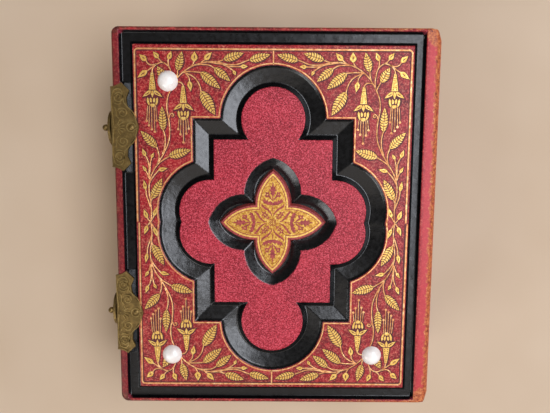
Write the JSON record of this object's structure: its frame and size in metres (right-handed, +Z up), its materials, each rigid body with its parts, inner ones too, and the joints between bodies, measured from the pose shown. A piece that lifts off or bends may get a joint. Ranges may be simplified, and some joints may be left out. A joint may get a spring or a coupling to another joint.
{
  "type": "photo album",
  "caption": "Card photograph album with moulded leather covers, a quatrefoil boss, porcelain foot studs, hinged stiff leaves with windows and two brass clasps.",
  "frame": {"origin": "bottom centre of the box round the closed album, which lies on its front cover", "axes": "+X towards the spine, +Y towards the head, +Z up, out of the back cover"},
  "size_m": [0.1362, 0.1548, 0.0492],
  "materials": {
    "crimson_leather": "moulded and grained, black-painted grooves, worn at the joint",
    "gilt_leather": "blocked with gold leaf",
    "millboard": "raw, hidden",
    "endpaper": "glazed",
    "stub_card": "raw card edges",
    "silk_band": "wound silk",
    "porcelain": "glossy glaze",
    "brass": "engraved and dulled",
    "leaf_card": "smooth card with gilt edges"
  },
  "bodies": {
    "front_cover": {"front_cover_leather": "crimson_leather", "front_board": "millboard", "front_pastedown": "endpaper", "front_boss": "gilt_leather", "upper_hinge_plate": "brass", "upper_hinge_rivet": "brass", "upper_hinge_pin": "brass", "lower_hinge_plate": "brass", "lower_hinge_rivet": "brass", "lower_hinge_pin": "brass"},
    "spine": {"spine_leather": "crimson_leather", "spine_board": "millboard", "guard_block": "stub_card", "head_band": "silk_band", "tail_band": "silk_band"},
    "back_cover": {"back_cover_leather": "crimson_leather", "back_board": "millboard", "back_pastedown": "endpaper", "back_boss": "gilt_leather", "foot_studs": "porcelain", "stud_pins": "brass", "upper_catch_plate": "brass", "upper_catch_rivet": "brass", "lower_catch_plate": "brass", "lower_catch_rivet": "brass"},
    "upper_hasp": {"upper_hasp": "brass", "upper_thumb_knob": "brass"},
    "lower_hasp": {"lower_hasp": "brass", "lower_thumb_knob": "brass"},
    "leaf_01": {"leaf_01": "leaf_card"},
    "leaf_02": {"leaf_02": "leaf_card"},
    "leaf_03": {"leaf_03": "leaf_card"},
    "leaf_04": {"leaf_04": "leaf_card"},
    "leaf_05": {"leaf_05": "leaf_card"},
    "leaf_06": {"leaf_06": "leaf_card"},
    "leaf_07": {"leaf_07": "leaf_card"},
    "leaf_08": {"leaf_08": "leaf_card"},
    "leaf_09": {"leaf_09": "leaf_card"},
    "leaf_10": {"leaf_10": "leaf_card"},
    "leaf_11": {"leaf_11": "leaf_card"},
    "leaf_12": {"leaf_12": "leaf_card"}
  },
  "joints": [
    {"name": "back_cover_hinge", "type": "hinge", "parent": "spine", "child": "back_cover", "pos_m": [0.0646, 0, 0.04315], "axis": [0, 1, 0], "range_deg": [0, 94]},
    {"name": "spine_turn", "type": "hinge", "parent": "front_cover", "child": "spine", "pos_m": [0.0646, 0, 0.0035], "axis": [0, 1, 0], "range_deg": [0, 86.01]},
    {"name": "leaf_01_turn", "type": "hinge", "parent": "spine", "child": "leaf_01", "pos_m": [0.0584, 0, 0.00847], "axis": [0, 1, 0], "range_deg": [-83.01, 0]},
    {"name": "leaf_02_turn", "type": "hinge", "parent": "spine", "child": "leaf_02", "pos_m": [0.0584, 0, 0.01117], "axis": [0, 1, 0], "range_deg": [-67.78, 0]},
    {"name": "leaf_03_turn", "type": "hinge", "parent": "spine", "child": "leaf_03", "pos_m": [0.0584, 0, 0.01388], "axis": [0, 1, 0], "range_deg": [-52.55, 0]},
    {"name": "leaf_04_turn", "type": "hinge", "parent": "spine", "child": "leaf_04", "pos_m": [0.0584, 0, 0.01657], "axis": [0, 1, 0], "range_deg": [-37.33, 0]},
    {"name": "leaf_05_turn", "type": "hinge", "parent": "spine", "child": "leaf_05", "pos_m": [0.0584, 0, 0.01928], "axis": [0, 1, 0], "range_deg": [-22.1, 0]},
    {"name": "leaf_06_turn", "type": "hinge", "parent": "spine", "child": "leaf_06", "pos_m": [0.0584, 0, 0.02198], "axis": [0, 1, 0], "range_deg": [-6.87, 0]},
    {"name": "leaf_07_turn", "type": "hinge", "parent": "spine", "child": "leaf_07", "pos_m": [0.0584, 0, 0.02467], "axis": [0, 1, 0], "range_deg": [0, 8.37]},
    {"name": "leaf_08_turn", "type": "hinge", "parent": "spine", "child": "leaf_08", "pos_m": [0.0584, 0, 0.02738], "axis": [0, 1, 0], "range_deg": [0, 23.6]},
    {"name": "leaf_09_turn", "type": "hinge", "parent": "spine", "child": "leaf_09", "pos_m": [0.0584, 0, 0.03008], "axis": [0, 1, 0], "range_deg": [0, 38.83]},
    {"name": "leaf_10_turn", "type": "hinge", "parent": "spine", "child": "leaf_10", "pos_m": [0.0584, 0, 0.03277], "axis": [0, 1, 0], "range_deg": [0, 54.05]},
    {"name": "leaf_11_turn", "type": "hinge", "parent": "spine", "child": "leaf_11", "pos_m": [0.0584, 0, 0.03547], "axis": [0, 1, 0], "range_deg": [0, 69.28]},
    {"name": "leaf_12_turn", "type": "hinge", "parent": "spine", "child": "leaf_12", "pos_m": [0.0584, 0, 0.03818], "axis": [0, 1, 0], "range_deg": [0, 84.51]},
    {"name": "upper_hasp_turn", "type": "hinge", "parent": "front_cover", "child": "upper_hasp", "pos_m": [-0.065, 0.0381, 0.0035], "axis": [0, -1, 0], "range_deg": [-1.3, 90]},
    {"name": "lower_hasp_turn", "type": "hinge", "parent": "front_cover", "child": "lower_hasp", "pos_m": [-0.065, -0.0381, 0.0035], "axis": [0, -1, 0], "range_deg": [-1.3, 90]}
  ],
  "couplings": [
    {"joint": "spine_turn", "follows": "back_cover_hinge", "ratio": 0.91489},
    {"joint": "leaf_01_turn", "follows": "back_cover_hinge", "ratio": -0.88298},
    {"joint": "leaf_02_turn", "follows": "back_cover_hinge", "ratio": -0.72099},
    {"joint": "leaf_03_turn", "follows": "back_cover_hinge", "ratio": -0.55899},
    {"joint": "leaf_04_turn", "follows": "back_cover_hinge", "ratio": -0.397},
    {"joint": "leaf_05_turn", "follows": "back_cover_hinge", "ratio": -0.23501},
    {"joint": "leaf_06_turn", "follows": "back_cover_hinge", "ratio": -0.073017},
    {"joint": "leaf_07_turn", "follows": "back_cover_hinge", "ratio": 0.088975},
    {"joint": "leaf_08_turn", "follows": "back_cover_hinge", "ratio": 0.25097},
    {"joint": "leaf_09_turn", "follows": "back_cover_hinge", "ratio": 0.41296},
    {"joint": "leaf_10_turn", "follows": "back_cover_hinge", "ratio": 0.57495},
    {"joint": "leaf_11_turn", "follows": "back_cover_hinge", "ratio": 0.73694},
    {"joint": "leaf_12_turn", "follows": "back_cover_hinge", "ratio": 0.89894}
  ]
}
